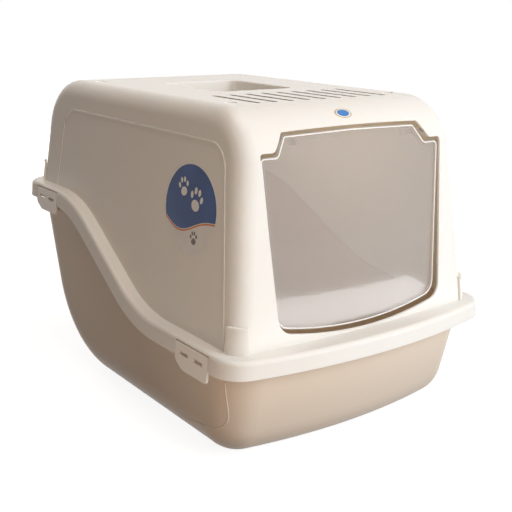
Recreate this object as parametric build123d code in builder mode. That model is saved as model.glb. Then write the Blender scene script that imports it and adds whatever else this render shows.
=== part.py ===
"""Hooded cat litter box: tray, hood, swing door, four side clips, carry handle and carbon filter."""
import os
from math import atan, cos, pi, sin, tan

from build123d import *

os.makedirs("parts", exist_ok=True)

# Overall size
rim_width = 390.0
rim_length = 560.0
total_height = 382.5
wall = 2.8
reach = 330.0

# Seam between hood and tray: low at the front, high at the back, in an S
seam_front = 115.5
seam_back = 219.5
seam_front_radius = 200.0
seam_back_radius = 175.0

# Rim that follows the seam: bowed front, sides leaning in with the hood, straight back
rim_half = rim_width / 2
rim_front = -rim_length / 2
rim_back = rim_length / 2
seam_foot_run = 223.0
seam_head_run = 146.0
seam_foot_y = rim_front + seam_foot_run
seam_head_y = rim_back - seam_head_run
seam_slope = atan((seam_back - seam_front) / (seam_head_y - seam_foot_y))
rim_bow_radius = 790.0
rim_front_corner = 36.0
rim_back_corner = 36.0

# Skirt of the hood and rim of the tray, as rises above the skirt's lower edge
shoulder_top = 20.5
shoulder_under = shoulder_top - wall
shoulder_round = 5.0
seat_gap = 0.3
flange_top = shoulder_under - seat_gap
flange_thickness = 3.0
lip_bottom = 0.5
lip_inset = 8.0
lip_thickness = 2.5

# Hood skin, measured at a reference height
hood_ref = 130.0
shoulder_side = 18.5
shoulder_front = 28.5
shoulder_back = 5.5
hood_half = rim_half - shoulder_side
side_draft = atan(0.108)
hood_front = rim_front + shoulder_front
hood_front_lean = atan(0.128)
hood_bow_radius = 2000.0
hood_back = rim_back - shoulder_back
hood_back_lean = atan(0.115)
hood_foot = 95.0
hood_front_round = 63.5
hood_back_round = 68.0
hood_arch_round = 22.0
hood_axis_y = hood_front + hood_bow_radius
hood_middle_y = (hood_front + hood_back) / 2
hood_rise = total_height - hood_ref
roof_front_turn = hood_front_round * tan((pi / 2 - hood_front_lean) / 2)
roof_back_turn = hood_back_round * tan((pi / 2 - hood_back_lean) / 2)
roof_front = hood_front + hood_rise * tan(hood_front_lean) + roof_front_turn
roof_back = hood_back - hood_rise * tan(hood_back_lean) - roof_back_turn

# Tray skin, measured at the floor
tray_side_inset = 20.4
tray_front_inset = 45.3
tray_back_inset = 96.4
tray_half = rim_half - tray_side_inset
tray_side_draft = atan(0.004)
tray_front = rim_front + tray_front_inset
tray_front_lean = atan(0.246)
tray_bow_radius = 725.0
tray_back = rim_back - tray_back_inset
tray_back_lean = atan(0.311)
tray_head = seam_back + 2 * shoulder_top
tray_front_round = 49.0
tray_back_round = 143.0
tray_side_round = 42.0
tray_wall = 3.0

# Corner posts and side bead on the hood
post_proud = 3.2
post_lip_proud = 4.4
post_lip_height = 2.4
post_top = shoulder_top + 29.0
post_side = 16.0
post_front_length = 25.5
post_back_length = 28.5
post_front_y = hood_front + post_front_length
post_back_y = hood_back - post_back_length
bead_proud = 0.8
bead_width = 2.2
bead_drop = 35.5
bead_top = total_height - bead_drop
bead_round = 30.0
bead_lean = atan(0.15)
bead_front_inset = 28.5
bead_back_inset = 52.5
bead_front = hood_front + bead_front_inset
bead_back = hood_back - bead_back_inset

# Door opening, half outline
door_top_margin = 23.5
door_jamb = 45.0
door_foot_inset = 11.0
door_sill = 22.1
door_bottom_bow = 13.4
door_top_drop = 2.0
notch_width = 18.5
notch_height = 21.0
notch_slant = 14.0
door_top = total_height - door_top_margin
door_half = hood_half - door_jamb
door_low_half = door_half - door_foot_inset
door_bottom = seam_front + door_sill
door_low_z = door_bottom + door_bottom_bow
notch_half = door_half - notch_width
notch_z = door_top - notch_height
door_top_half = notch_half - notch_slant
door_foot_round = 20.0
door_corner_round = 4.0
door_neck_round = 7.0

# Swing door
door_top_gap = 4.0
door_notch_gap = 5.0
door_side_gap = 1.8
door_bottom_gap = 2.5
flap_thickness = 2.0
flap_bead = 4.0
flap_bead_proud = 0.7
flap_low_depth = 9.5
flap_bend_depth = 3.9
flap_bend_drop = 32.0
flap_head_set = 13.1
flap_bend_round = 50.0
flap_bend_z = door_top - flap_bend_drop
flap_low_y = hood_front + (door_bottom - hood_ref) * tan(hood_front_lean) + flap_low_depth
flap_bend_y = hood_front + (flap_bend_z - hood_ref) * tan(hood_front_lean) + flap_bend_depth
flap_head_y = flap_bend_y + flap_head_set
pivot_rise = 7.0
pivot_set = 0.2
pivot_y = flap_head_y - pivot_set
pivot_z = notch_z + pivot_rise
pin_radius = 2.5
running_gap = 0.05
knuckle_radius = 3.8
knuckle_length = 16.0
knuckle_inset = 1.0
knuckle_end = door_top_half - door_top_gap - knuckle_inset
knuckle_start = knuckle_end - knuckle_length
ear_start = notch_half
ear_width = 6.0
ear_radius = 6.5

# Side clips
clip_width = 64.0
clip_side_gap = 0.8
clip_thickness = 2.6
clip_drop = 13.0
clip_front_inset = 93.0
clip_rear_inset = 80.0
clip_front_y = rim_front + clip_front_inset
clip_rear_y = rim_back - clip_rear_inset
clip_front_corner = 4.0
clip_rear_run = 17.0
clip_rear_rise = 8.5
clip_rear_corner = 9.0
clip_barrel = 2.4
clip_pin = 1.4
clip_pin_length = 3.5
clip_axis_drop = 3.6
clip_axis_rise = shoulder_under - clip_axis_drop
slot_width = 18.0
slot_height = 4.2
slot_low = 2.7
slot_round = 0.6
slot_centres = (-13.0, 15.0)
tooth_margin = 0.7
tooth_gap = 0.4
boss_length = 6.0
boss_height = 8.0
boss_depth = 1.8
bore_depth = 4.0
skirt_corner = 3.0

# Handle pocket and carry handle
pocket_half = 56.0
pocket_length = 136.0
pocket_set = 18.5
pocket_y = hood_middle_y + pocket_set
pocket_front = pocket_y - pocket_length / 2
pocket_back = pocket_y + pocket_length / 2
pocket_depth = 32.0
pocket_round = 12.0
pocket_lip_round = 2.0
handle_axis_z = total_height - 16.0
handle_gap = 3.0
handle_arm = 9.0
handle_reach = 45.0
handle_grip = 13.0
handle_thickness = 9.0
handle_hub = 7.0
handle_pin = 3.5
handle_bearing = 6.0
handle_boss = 7.0
handle_corner = 9.0
handle_edge_round = 2.5
handle_rest_width = 8.0

# Vent slots and dimples
vent_count = 9
vent_pitch = 23.0
vent_width = 7.5
vent_lead = 1.7
vent_length = 92.0
vent_front = roof_front - vent_lead
vent_back = vent_front + vent_length
dimple_radius = 7.0
dimple_depth = 0.8
dimple_side_inset = 60.5
dimple_front_inset = 17.0
dimple_back_inset = 25.0
dimple_span_x = 2 * (hood_half - dimple_side_inset)
dimple_front = roof_front + dimple_front_inset
dimple_back = roof_back - dimple_back_inset

# Carbon filter
filter_gap = 0.5
filter_length = 214.0
filter_width = 94.0
filter_height = 11.0
filter_wall = 2.0
filter_corner = 2.0
filter_bar = 2.5
filter_cells_x = 10
filter_cells_y = 4
filter_grid = 2.5
pad_margin = 1.0
pad_thickness = 7.0
peg_radius = 2.5
peg_length = 9.0
lug_radius = 6.0
lug_thickness = 3.0
lug_offset = 5.0
filter_y = (vent_front + vent_back) / 2
filter_top = total_height - wall - filter_gap
peg_span_x = filter_length + 2 * lug_offset
peg_span_y = filter_width - 4 * lug_radius
cell_pitch_x = (filter_length - 2 * filter_wall) / filter_cells_x
cell_pitch_y = (filter_width - 2 * filter_wall) / filter_cells_y


def drafted_block(half, front, back, bow_radius, side, ahead, behind, ref, low, top):
    """Upright block with a bowed front, sized at a reference height, whose walls lean in as they rise."""
    axis_y = front + bow_radius
    low_run = low - ref
    top_run = top - ref
    with BuildPart() as block:
        with BuildSketch(Plane.YZ):
            Polygon(
                (-reach, low),
                (back - low_run * tan(behind), low),
                (back - top_run * tan(behind), top),
                (-reach, top),
                align=None,
            )
        extrude(amount=reach, both=True)
        with BuildSketch(Plane.XZ):
            Polygon(
                (-half + low_run * tan(side), low),
                (half - low_run * tan(side), low),
                (half - top_run * tan(side), top),
                (-half + top_run * tan(side), top),
                align=None,
            )
        extrude(amount=reach, both=True, mode=Mode.INTERSECT)
        with BuildSketch(Plane.YZ):
            Polygon(
                (axis_y, low),
                (axis_y, top),
                (front + top_run * tan(ahead), top),
                (front + low_run * tan(ahead), low),
                align=None,
            )
        revolve(axis=Axis((0, axis_y, 0), (0, 0, 1)), mode=Mode.INTERSECT)
    return block.part


def uprights(part):
    """The four upright corner edges of a block, front pair first."""
    tall = part.edges().filter_by(lambda edge: edge.bounding_box().size.Z > total_height / 3)
    return tall.sort_by(Axis.Y)


def hood_form(inset):
    """Closed form of the hood, drawn a distance inside its outer skin."""
    top = total_height - inset
    with BuildPart() as form:
        add(
            drafted_block(
                hood_half - inset / cos(side_draft),
                hood_front + inset / cos(hood_front_lean),
                hood_back - inset / cos(hood_back_lean),
                hood_bow_radius - inset / cos(hood_front_lean),
                side_draft,
                hood_front_lean,
                hood_back_lean,
                hood_ref,
                hood_foot,
                top,
            )
        )
        fillet(form.faces().sort_by(Axis.Z)[-1].edges().sort_by(Axis.Y)[0], hood_front_round - inset)
        roof = form.faces().filter_by(Axis.Z).sort_by(Axis.Z)[-1]
        fillet(roof.edges().sort_by(Axis.Y)[-1], hood_back_round - inset)
        panels = form.faces().sort_by(Axis.X)
        arch = panels[0].edges() + panels[-1].edges()
        fillet(arch.filter_by(lambda edge: edge.center().Z > hood_foot + 1), hood_arch_round - inset)
    return form.part


def tray_form(inset):
    """Closed form of the tray, drawn a distance inside its outer skin."""
    with BuildPart() as form:
        add(
            drafted_block(
                tray_half - inset / cos(tray_side_draft),
                tray_front + inset / cos(tray_front_lean),
                tray_back - inset / cos(tray_back_lean),
                tray_bow_radius - inset / cos(tray_front_lean),
                -tray_side_draft,
                -tray_front_lean,
                -tray_back_lean,
                0,
                inset,
                tray_head,
            )
        )
        fillet(form.faces().sort_by(Axis.Z)[0].edges().sort_by(Axis.Y)[0], tray_front_round - inset)
        floor = form.faces().filter_by(Axis.Z).sort_by(Axis.Z)[0]
        fillet(floor.edges().sort_by(Axis.Y)[-1], tray_back_round - inset)
        panels = form.faces().sort_by(Axis.X)
        cradle = panels[0].edges() + panels[-1].edges()
        fillet(cradle.filter_by(lambda edge: edge.center().Z < tray_head - 1), tray_side_round - inset)
    return form.part


def rim_form(inset):
    """Upright form whose walls carry the skirt, drawn a distance inside its outer face."""
    with BuildPart() as form:
        add(
            drafted_block(
                rim_half - inset / cos(side_draft),
                rim_front + inset,
                rim_back - inset,
                rim_bow_radius - inset,
                side_draft,
                0,
                0,
                seam_front,
                0,
                total_height,
            )
        )
        fillet(uprights(form.part)[:2], rim_front_corner - inset)
        fillet(uprights(form.part)[-2:], rim_back_corner - inset)
    return form.part


def rim_face(z):
    """Distance of the rim's side face from the middle at a height."""
    return rim_half - (z - seam_front) * tan(side_draft)


def seam_points(rise):
    """Corner points of the seam line, shifted square to itself by a rise."""
    shift = -rise * tan(seam_slope / 2)
    return [
        (-reach, seam_front + rise),
        (seam_foot_y + shift, seam_front + rise),
        (seam_head_y + shift, seam_back + rise),
        (reach, seam_back + rise),
    ]


def seam_radii(rise):
    """Rounding of the two bends of the shifted seam line."""
    return [seam_front_radius - rise, seam_back_radius + rise]


def seam_band(low, high):
    """Slab between two rises of the seam, across the whole width."""
    with BuildPart() as band:
        with BuildSketch(Plane.YZ):
            with BuildLine():
                FilletPolyline(*seam_points(low), radius=seam_radii(low))
                FilletPolyline(*seam_points(high), radius=seam_radii(high))
                Line(seam_points(low)[0], seam_points(high)[0])
                Line(seam_points(low)[-1], seam_points(high)[-1])
            make_face()
        extrude(amount=reach, both=True)
    return band.part


def seam_side(rise, limit):
    """Everything between one rise of the seam and a level height, across the whole width."""
    points = seam_points(rise)
    with BuildPart() as side:
        with BuildSketch(Plane.YZ):
            with BuildLine():
                FilletPolyline(*points, radius=seam_radii(rise))
                Polyline(points[-1], (reach, limit), (-reach, limit), points[0])
            make_face()
        extrude(amount=reach, both=True)
    return side.part


def rim_ring(inset, low, high):
    """Solid of the rim between two rises of the seam."""
    with BuildPart() as ring:
        add(rim_form(inset))
        add(seam_band(low, high), mode=Mode.INTERSECT)
    return ring.part


def corner_posts(proud, low, high):
    """Pads that wrap the four upright corners of the hood, between two rises of the seam."""
    with BuildPart() as posts:
        add(hood_form(-proud))
        add(seam_band(low, high), mode=Mode.INTERSECT)
        with BuildSketch():
            with Locations((0, rim_front), (0, rim_back)):
                Rectangle(2 * (hood_half - post_side), rim_length)
            with Locations((0, (post_front_y + post_back_y) / 2)):
                Rectangle(rim_width, post_back_y - post_front_y)
        extrude(amount=total_height, mode=Mode.SUBTRACT)
    return posts.part


def side_bead():
    """Thin raised line framing each side panel of the hood."""
    top_shift = (bead_top - hood_ref) * tan(bead_lean)
    low_shift = (hood_foot - hood_ref) * tan(bead_lean)
    corners = [
        (bead_front + low_shift, hood_foot),
        (bead_front + top_shift, bead_top),
        (bead_back - top_shift, bead_top),
        (bead_back - low_shift, hood_foot),
    ]
    with BuildPart() as bead:
        with BuildSketch(Plane.YZ) as panel:
            Polygon(*corners, align=None)
            fillet(panel.vertices().group_by(Axis.Y)[-1], bead_round)
            offset(amount=-bead_width, mode=Mode.SUBTRACT)
        extrude(amount=reach, both=True)
        add(hood_form(-bead_proud), mode=Mode.INTERSECT)
        add(seam_side(shoulder_under, 2 * total_height), mode=Mode.INTERSECT)
    return bead.part


def door_outline(side_gap, top_gap, notch_gap, bottom_gap):
    """Outline of the door opening, drawn smaller by its gaps."""
    top = door_top - top_gap
    head = (door_top_half - top_gap, top - door_top_drop)
    neck = (notch_half - notch_gap, notch_z - notch_gap)
    shoulder = (door_half - side_gap, notch_z - notch_gap)
    foot = (door_low_half - side_gap, door_low_z + bottom_gap)
    with BuildSketch(Plane.XZ) as outline:
        with BuildLine():
            ThreePointArc((-head[0], head[1]), (0, top), head)
            Polyline(head, neck, shoulder, foot)
            ThreePointArc(foot, (0, door_bottom + bottom_gap), (-foot[0], foot[1]))
            Polyline(*[(-x, z) for x, z in (foot, shoulder, neck, head)])
        make_face()
        for corner, radius in (
            (foot, door_foot_round - side_gap),
            (shoulder, door_corner_round),
            (neck, door_neck_round),
            (head, door_corner_round),
        ):
            near = [Vector(side * corner[0], corner[1]) for side in (-1, 1)]
            fillet([outline.vertices().sort_by_distance(spot)[0] for spot in near], radius)
    return outline.sketch


def door_ears():
    """Bearing ears behind the front wall that carry the swing door."""
    with BuildPart() as ears:
        for side in (-1, 1):
            with BuildSketch(Plane.YZ.offset(side * ear_start)):
                with Locations((pivot_y, pivot_z)):
                    Circle(ear_radius)
                    Rectangle(2 * ear_radius, 2 * ear_radius, align=(Align.MAX, Align.CENTER))
            extrude(amount=side * ear_width)
        add(hood_form(wall / 2), mode=Mode.INTERSECT)
    return ears.part


def flap_sheet(grow):
    """Bowed and bent sheet that the swing door is cut from, thickened by a growth on each face."""
    front = [
        (flap_low_y - grow, door_bottom),
        (flap_bend_y - grow, flap_bend_z),
        (flap_head_y - grow, door_top),
    ]
    rear = [(y + flap_thickness + 2 * grow, z) for y, z in front]
    with BuildPart() as sheet:
        with BuildSketch(Plane.YZ):
            with BuildLine():
                FilletPolyline(*front, radius=flap_bend_round)
                FilletPolyline(*rear, radius=flap_bend_round)
                Line(front[0], rear[0])
                Line(front[-1], rear[-1])
            make_face()
        revolve(axis=Axis((0, hood_axis_y, 0), (0, 0, 1)))
    return sheet.part


def clip_plane(centre_y, seam_z):
    """Plane of the skirt's outer face, with its origin beside the middle of a clip's hinge."""
    axis_z = seam_z + clip_axis_rise
    outward = (cos(side_draft), 0, sin(side_draft))
    return Plane((rim_face(axis_z), centre_y, axis_z), x_dir=(0, 1, 0), z_dir=outward)


def clip_hinge(centre_y, seam_z):
    """Plane square to a right-hand clip's hinge line, with its origin on that line."""
    axis_z = seam_z + clip_axis_rise
    axis_x = rim_face(axis_z) - clip_barrel / cos(side_draft)
    return Plane((axis_x, centre_y, axis_z), x_dir=(1, 0, 0), z_dir=(0, -1, 0))


def slot_spots():
    """Middles of a clip's slots on its plane."""
    return [(place, slot_low + slot_height / 2 - clip_axis_rise) for place in slot_centres]


def side_clip(centre_y, seam_z):
    """Right-hand clip: plate with two slots, hinge barrel and pivot pins."""
    height = clip_axis_rise + clip_drop
    with BuildPart() as clip:
        with BuildSketch(clip_plane(centre_y, seam_z)) as plate:
            half = clip_width / 2
            Polygon(
                (-half, 0),
                (half, 0),
                (half, clip_rear_rise - height),
                (half - clip_rear_run, -height),
                (-half, -height),
                align=None,
            )
            fillet(plate.vertices().group_by(Axis.X)[-1].sort_by(Axis.Y)[0], clip_rear_corner)
            fillet(plate.vertices().group_by(Axis.Y)[0].sort_by(Axis.X)[-1], clip_rear_corner)
            fillet(plate.vertices().group_by(Axis.Y)[0].sort_by(Axis.X)[0], clip_front_corner)
            with Locations(*slot_spots()):
                RectangleRounded(slot_width, slot_height, slot_round, mode=Mode.SUBTRACT)
        extrude(amount=-clip_thickness)
        with BuildSketch(clip_hinge(centre_y, seam_z)):
            Circle(clip_barrel)
        extrude(amount=clip_width / 2, both=True)
        with BuildSketch(clip_hinge(centre_y, seam_z)):
            Circle(clip_pin)
        extrude(amount=clip_width / 2 + clip_side_gap + clip_pin_length, both=True)
    return clip.part


clip_places = ((clip_front_y, seam_front), (clip_rear_y, seam_back))
window_half = clip_width / 2 + clip_side_gap
tooth_tip = clip_thickness + tooth_gap
tooth_root = lip_inset + lip_thickness / 2

# Tray: drafted pan with an S-curved flange, a turned-down lip and a pair of teeth behind each clip
with BuildPart() as teeth:
    for centre_y, seam_z in clip_places:
        with BuildSketch(clip_plane(centre_y, seam_z).offset(-tooth_tip)):
            with Locations(*slot_spots()):
                Rectangle(slot_width - 2 * tooth_margin, slot_height - 2 * tooth_margin)
        extrude(amount=tooth_tip - tooth_root)

with BuildPart() as tray_rim:
    add(rim_ring(lip_inset, lip_bottom, flange_top))
    add(rim_ring(lip_inset + lip_thickness, -clip_drop, flange_top - flange_thickness), mode=Mode.SUBTRACT)

with BuildPart() as litter_tray:
    add(tray_form(0))
    add(seam_side(flange_top, -reach), mode=Mode.INTERSECT)
    add(tray_rim.part)
    add(teeth.part)
    mirror(teeth.part, about=Plane.YZ)
    add(tray_form(tray_wall), mode=Mode.SUBTRACT)
litter_tray.part.label = "litter_tray"
export_step(litter_tray.part, "parts/litter_tray.step")

# Skirt and shoulder of the hood, rounded along the outer top edge
with BuildPart() as hood_rim:
    add(rim_ring(0, 0, shoulder_top))
    crown = hood_rim.faces().filter_by(lambda face: face.normal_at(face.center()).Z > 0.5)
    folds = crown.edges().filter_by(Axis.X).filter_by(lambda edge: edge.center().Y < rim_back - 1)
    fillet([edge for edge in crown.edges() if edge not in folds], shoulder_round)

# Openings in the skirt for the right-hand clips, and the bosses that carry their pins
with BuildPart() as clip_windows:
    for centre_y, seam_z in clip_places:
        with BuildSketch(clip_plane(centre_y, seam_z)):
            Rectangle(2 * window_half, 4 * shoulder_top)
            for side, inner in ((-1, Align.MIN), (1, Align.MAX)):
                with Locations((side * (window_half + skirt_corner), skirt_corner - clip_axis_rise)):
                    Rectangle(skirt_corner, skirt_corner, align=(inner, Align.MAX))
                    Circle(skirt_corner, mode=Mode.SUBTRACT)
        extrude(amount=2 * wall, both=True)
    add(seam_band(-shoulder_top, shoulder_under), mode=Mode.INTERSECT)

with BuildPart() as clip_bosses:
    for centre_y, seam_z in clip_places:
        with BuildSketch(clip_plane(centre_y, seam_z).offset(-wall - boss_depth)):
            with GridLocations(2 * window_half + boss_length, 1, 2, 1):
                Rectangle(boss_length, boss_height)
        extrude(amount=boss_depth + wall / 2)

with BuildPart() as clip_bores:
    for centre_y, seam_z in clip_places:
        with BuildSketch(clip_hinge(centre_y, seam_z)):
            Circle(clip_pin + running_gap)
        extrude(amount=window_half + bore_depth, both=True)

# Hood: drafted shell on its shoulder, with door opening, pocket, vents and bearings
with BuildPart() as hood:
    add(hood_form(0))
    add(seam_side(shoulder_under, 2 * total_height), mode=Mode.INTERSECT)
    add(corner_posts(post_proud, shoulder_under, post_top))
    add(corner_posts(post_lip_proud, post_top - post_lip_height, post_top))
    add(side_bead())
    add(hood_rim.part)
    add(rim_ring(wall, -clip_drop, shoulder_under), mode=Mode.SUBTRACT)
    add(hood_form(wall), mode=Mode.SUBTRACT)
    extrude(door_outline(0, 0, 0, 0), amount=reach, dir=(0, -1, 0), mode=Mode.SUBTRACT)
    add(door_ears())
    with BuildSketch(Plane.YZ.offset(-ear_start - ear_width)):
        with Locations((pivot_y, pivot_z)):
            Circle(pin_radius + running_gap)
    extrude(amount=2 * (ear_start + ear_width), mode=Mode.SUBTRACT)

    # Handle pocket with pivot bearings and rests for the folded handle
    pocket_floor = total_height - pocket_depth
    rest_top = handle_axis_z - handle_thickness / 2 - seat_gap
    with BuildSketch(Plane.XY.offset(pocket_floor - wall)):
        with Locations((0, pocket_y)):
            RectangleRounded(2 * (pocket_half + wall), pocket_length + 2 * wall, pocket_round + wall)
    extrude(amount=pocket_depth + wall / 2)
    with BuildSketch(Plane.XZ.offset(-pocket_y)):
        with Locations((0, handle_axis_z)):
            Circle(handle_boss)
    extrude(amount=pocket_length / 2 + handle_bearing, both=True)
    with BuildSketch(Plane.XY.offset(pocket_floor)):
        with Locations((0, pocket_y)):
            RectangleRounded(2 * pocket_half, pocket_length, pocket_round)
    extrude(amount=2 * pocket_depth, mode=Mode.SUBTRACT)
    with BuildSketch(Plane.XZ.offset(-pocket_y)):
        with Locations((0, handle_axis_z)):
            Circle(handle_pin + running_gap)
    extrude(amount=pocket_length / 2 + handle_bearing, both=True, mode=Mode.SUBTRACT)
    with BuildSketch(Plane.XY.offset(pocket_floor - wall / 2)):
        for end_y, inward in ((pocket_front, Align.MIN), (pocket_back, Align.MAX)):
            with Locations((-handle_reach, end_y), (handle_reach, end_y)):
                Rectangle(handle_rest_width, handle_gap + handle_arm, align=(Align.CENTER, inward))
    extrude(amount=rest_top - pocket_floor + wall / 2)
    roof = hood.faces().filter_by(Axis.Z).sort_by(Axis.Z)[-1]
    fillet(roof.inner_wires().edges(), pocket_lip_round)

    # Vent slots, dimples and filter pegs
    with BuildSketch(Plane.XY.offset(total_height)):
        with Locations((0, filter_y)):
            with GridLocations(vent_pitch, 1, vent_count, 1):
                SlotOverall(vent_length, vent_width, rotation=90)
    extrude(amount=-2 * wall, mode=Mode.SUBTRACT)
    with BuildSketch(Plane.XY.offset(total_height)):
        with Locations((0, (dimple_front + dimple_back) / 2)):
            with GridLocations(dimple_span_x, dimple_back - dimple_front, 2, 2):
                Circle(dimple_radius)
    extrude(amount=-dimple_depth, mode=Mode.SUBTRACT)
    with BuildSketch(Plane.XY.offset(total_height - wall / 2)):
        with Locations((0, filter_y)):
            with GridLocations(peg_span_x, peg_span_y, 2, 2):
                Circle(peg_radius)
    extrude(amount=-peg_length - wall / 2)

    # Clip windows and hinge bosses on both sides
    add(clip_bosses.part)
    mirror(clip_bosses.part, about=Plane.YZ)
    add(clip_windows.part, mode=Mode.SUBTRACT)
    mirror(clip_windows.part, about=Plane.YZ, mode=Mode.SUBTRACT)
    add(clip_bores.part, mode=Mode.SUBTRACT)
    mirror(clip_bores.part, about=Plane.YZ, mode=Mode.SUBTRACT)
hood.part.label = "hood"
export_step(hood.part, "parts/hood.step")

# Swing door: bowed clear sheet with an edge bead, knuckles and pivot pins
flap_gaps = (door_side_gap, door_top_gap, door_notch_gap, door_bottom_gap)
flap_core = [gap + flap_bead for gap in flap_gaps]
with BuildPart() as flap_edge:
    extrude(door_outline(*flap_gaps), amount=reach, dir=(0, -1, 0))
    extrude(door_outline(*flap_core), amount=reach, dir=(0, -1, 0), mode=Mode.SUBTRACT)
    add(flap_sheet(flap_bead_proud), mode=Mode.INTERSECT)

with BuildPart() as door_flap:
    extrude(door_outline(*flap_gaps), amount=reach, dir=(0, -1, 0))
    add(flap_sheet(0), mode=Mode.INTERSECT)
    add(flap_edge.part)
    for side in (-1, 1):
        with BuildSketch(Plane.YZ.offset(side * knuckle_start)):
            with Locations((pivot_y, pivot_z)):
                Circle(knuckle_radius)
        extrude(amount=side * (knuckle_end - knuckle_start))
        with BuildSketch(Plane.YZ.offset(side * knuckle_start)):
            with Locations((pivot_y, pivot_z)):
                Circle(pin_radius)
        extrude(amount=side * (ear_start + ear_width - knuckle_start))
door_flap.part.label = "door_flap"
export_step(door_flap.part, "parts/door_flap.step")

# Side clips: the right-hand pair, and the left-hand pair mirrored from it
front_right_clip = side_clip(clip_front_y, seam_front)
front_right_clip.label = "front_right_clip"
export_step(front_right_clip, "parts/front_right_clip.step")
rear_right_clip = side_clip(clip_rear_y, seam_back)
rear_right_clip.label = "rear_right_clip"
export_step(rear_right_clip, "parts/rear_right_clip.step")

with BuildPart() as front_left_clip:
    mirror(front_right_clip, about=Plane.YZ)
front_left_clip.part.label = "front_left_clip"
export_step(front_left_clip.part, "parts/front_left_clip.step")

with BuildPart() as rear_left_clip:
    mirror(rear_right_clip, about=Plane.YZ)
rear_left_clip.part.label = "rear_left_clip"
export_step(rear_left_clip.part, "parts/rear_left_clip.step")

# Carry handle: flat bail folded to the left in its pocket
bail_front = pocket_front + handle_gap
bail_back = pocket_back - handle_gap
with BuildPart() as carry_handle:
    with BuildSketch(Plane.XY.offset(handle_axis_z)) as bail:
        with Locations((0, pocket_y)):
            Rectangle(
                handle_reach + handle_grip / 2,
                bail_back - bail_front,
                align=(Align.MAX, Align.CENTER),
            )
        fillet(bail.vertices().group_by(Axis.X)[0], handle_corner)
        with Locations((0, pocket_y)):
            Rectangle(
                handle_reach - handle_grip / 2,
                bail_back - bail_front - 2 * handle_arm,
                align=(Align.MAX, Align.CENTER),
                mode=Mode.SUBTRACT,
            )
    extrude(amount=handle_thickness / 2, both=True)
    faces = carry_handle.faces().filter_by(Axis.Z)
    fillet(faces.edges().filter_by(lambda edge: edge.center().X < -1), handle_edge_round)
    with BuildSketch(Plane.XZ.offset(-pocket_y)):
        with Locations((0, handle_axis_z)):
            Circle(handle_pin)
    extrude(amount=pocket_length / 2 + handle_bearing, both=True)
    for start_y in (bail_front, bail_back - handle_arm):
        with BuildSketch(Plane.XZ.offset(-start_y)):
            with Locations((0, handle_axis_z)):
                Circle(handle_hub)
        extrude(amount=-handle_arm)
    with BuildSketch(Plane.XY.offset(handle_axis_z)):
        with Locations((0, pocket_y)):
            Rectangle(2 * handle_hub, bail_back - bail_front - 2 * handle_arm)
    extrude(amount=handle_hub, both=True, mode=Mode.SUBTRACT)
carry_handle.part.label = "carry_handle"
export_step(carry_handle.part, "parts/carry_handle.step")

# Filter frame: shallow grid tray hung on the pegs under the vents
filter_bottom = filter_top - filter_height
with BuildPart() as filter_frame:
    with BuildSketch(Plane.XY.offset(filter_bottom)):
        with Locations((0, filter_y)):
            RectangleRounded(filter_length, filter_width, filter_corner)
    extrude(amount=filter_height)
    with BuildSketch(Plane.XY.offset(filter_bottom + filter_grid)):
        with Locations((0, filter_y)):
            Rectangle(filter_length - 2 * filter_wall, filter_width - 2 * filter_wall)
    extrude(amount=filter_height, mode=Mode.SUBTRACT)
    with BuildSketch(Plane.XY.offset(filter_bottom)):
        with Locations((0, filter_y)):
            with GridLocations(cell_pitch_x, cell_pitch_y, filter_cells_x, filter_cells_y):
                Rectangle(cell_pitch_x - filter_bar, cell_pitch_y - filter_bar)
    extrude(amount=filter_height, mode=Mode.SUBTRACT)
    with BuildSketch(Plane.XY.offset(filter_top)):
        for side, edge in ((-1, Align.MIN), (1, Align.MAX)):
            with Locations(*[(side * peg_span_x / 2, filter_y + end * peg_span_y / 2) for end in (-1, 1)]):
                Circle(lug_radius)
                Rectangle(lug_offset + filter_wall, 2 * lug_radius, align=(edge, Align.CENTER))
        with Locations((0, filter_y)):
            with GridLocations(peg_span_x, peg_span_y, 2, 2):
                Circle(peg_radius + running_gap, mode=Mode.SUBTRACT)
    extrude(amount=-lug_thickness)
filter_frame.part.label = "filter_frame"
export_step(filter_frame.part, "parts/filter_frame.step")

# Carbon pad lying in the frame
pad_length = filter_length - 2 * (filter_wall + pad_margin)
pad_width = filter_width - 2 * (filter_wall + pad_margin)
with BuildPart() as carbon_filter:
    with BuildSketch(Plane.XY.offset(filter_bottom + filter_grid)):
        with Locations((0, filter_y)):
            RectangleRounded(pad_length, pad_width, filter_corner)
    extrude(amount=pad_thickness)
carbon_filter.part.label = "carbon_filter"
export_step(carbon_filter.part, "parts/carbon_filter.step")
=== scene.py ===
"""Dresses a hooded cat litter box: moulded plastics, smoky swing door, felt pad, label and a pale studio."""

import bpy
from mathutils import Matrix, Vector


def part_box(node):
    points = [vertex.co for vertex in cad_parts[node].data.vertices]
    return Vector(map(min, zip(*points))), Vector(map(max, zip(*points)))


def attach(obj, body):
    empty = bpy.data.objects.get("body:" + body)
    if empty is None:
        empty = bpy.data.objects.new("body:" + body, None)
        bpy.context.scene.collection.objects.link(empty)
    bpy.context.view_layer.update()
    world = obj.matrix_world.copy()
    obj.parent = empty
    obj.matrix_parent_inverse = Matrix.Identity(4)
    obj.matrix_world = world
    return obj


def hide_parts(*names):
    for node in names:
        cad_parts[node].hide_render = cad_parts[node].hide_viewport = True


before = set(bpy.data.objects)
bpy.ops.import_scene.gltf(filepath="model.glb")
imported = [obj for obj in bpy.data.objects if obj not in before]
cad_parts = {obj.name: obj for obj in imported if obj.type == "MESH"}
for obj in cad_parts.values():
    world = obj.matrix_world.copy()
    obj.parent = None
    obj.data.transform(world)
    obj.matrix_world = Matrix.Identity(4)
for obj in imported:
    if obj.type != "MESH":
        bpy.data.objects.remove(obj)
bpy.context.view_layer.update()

import math
from collections import namedtuple

import bmesh
import bpy
from bpy.props import FloatProperty, FloatVectorProperty, IntProperty, PointerProperty
from mathutils import Matrix, Quaternion, Vector

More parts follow.
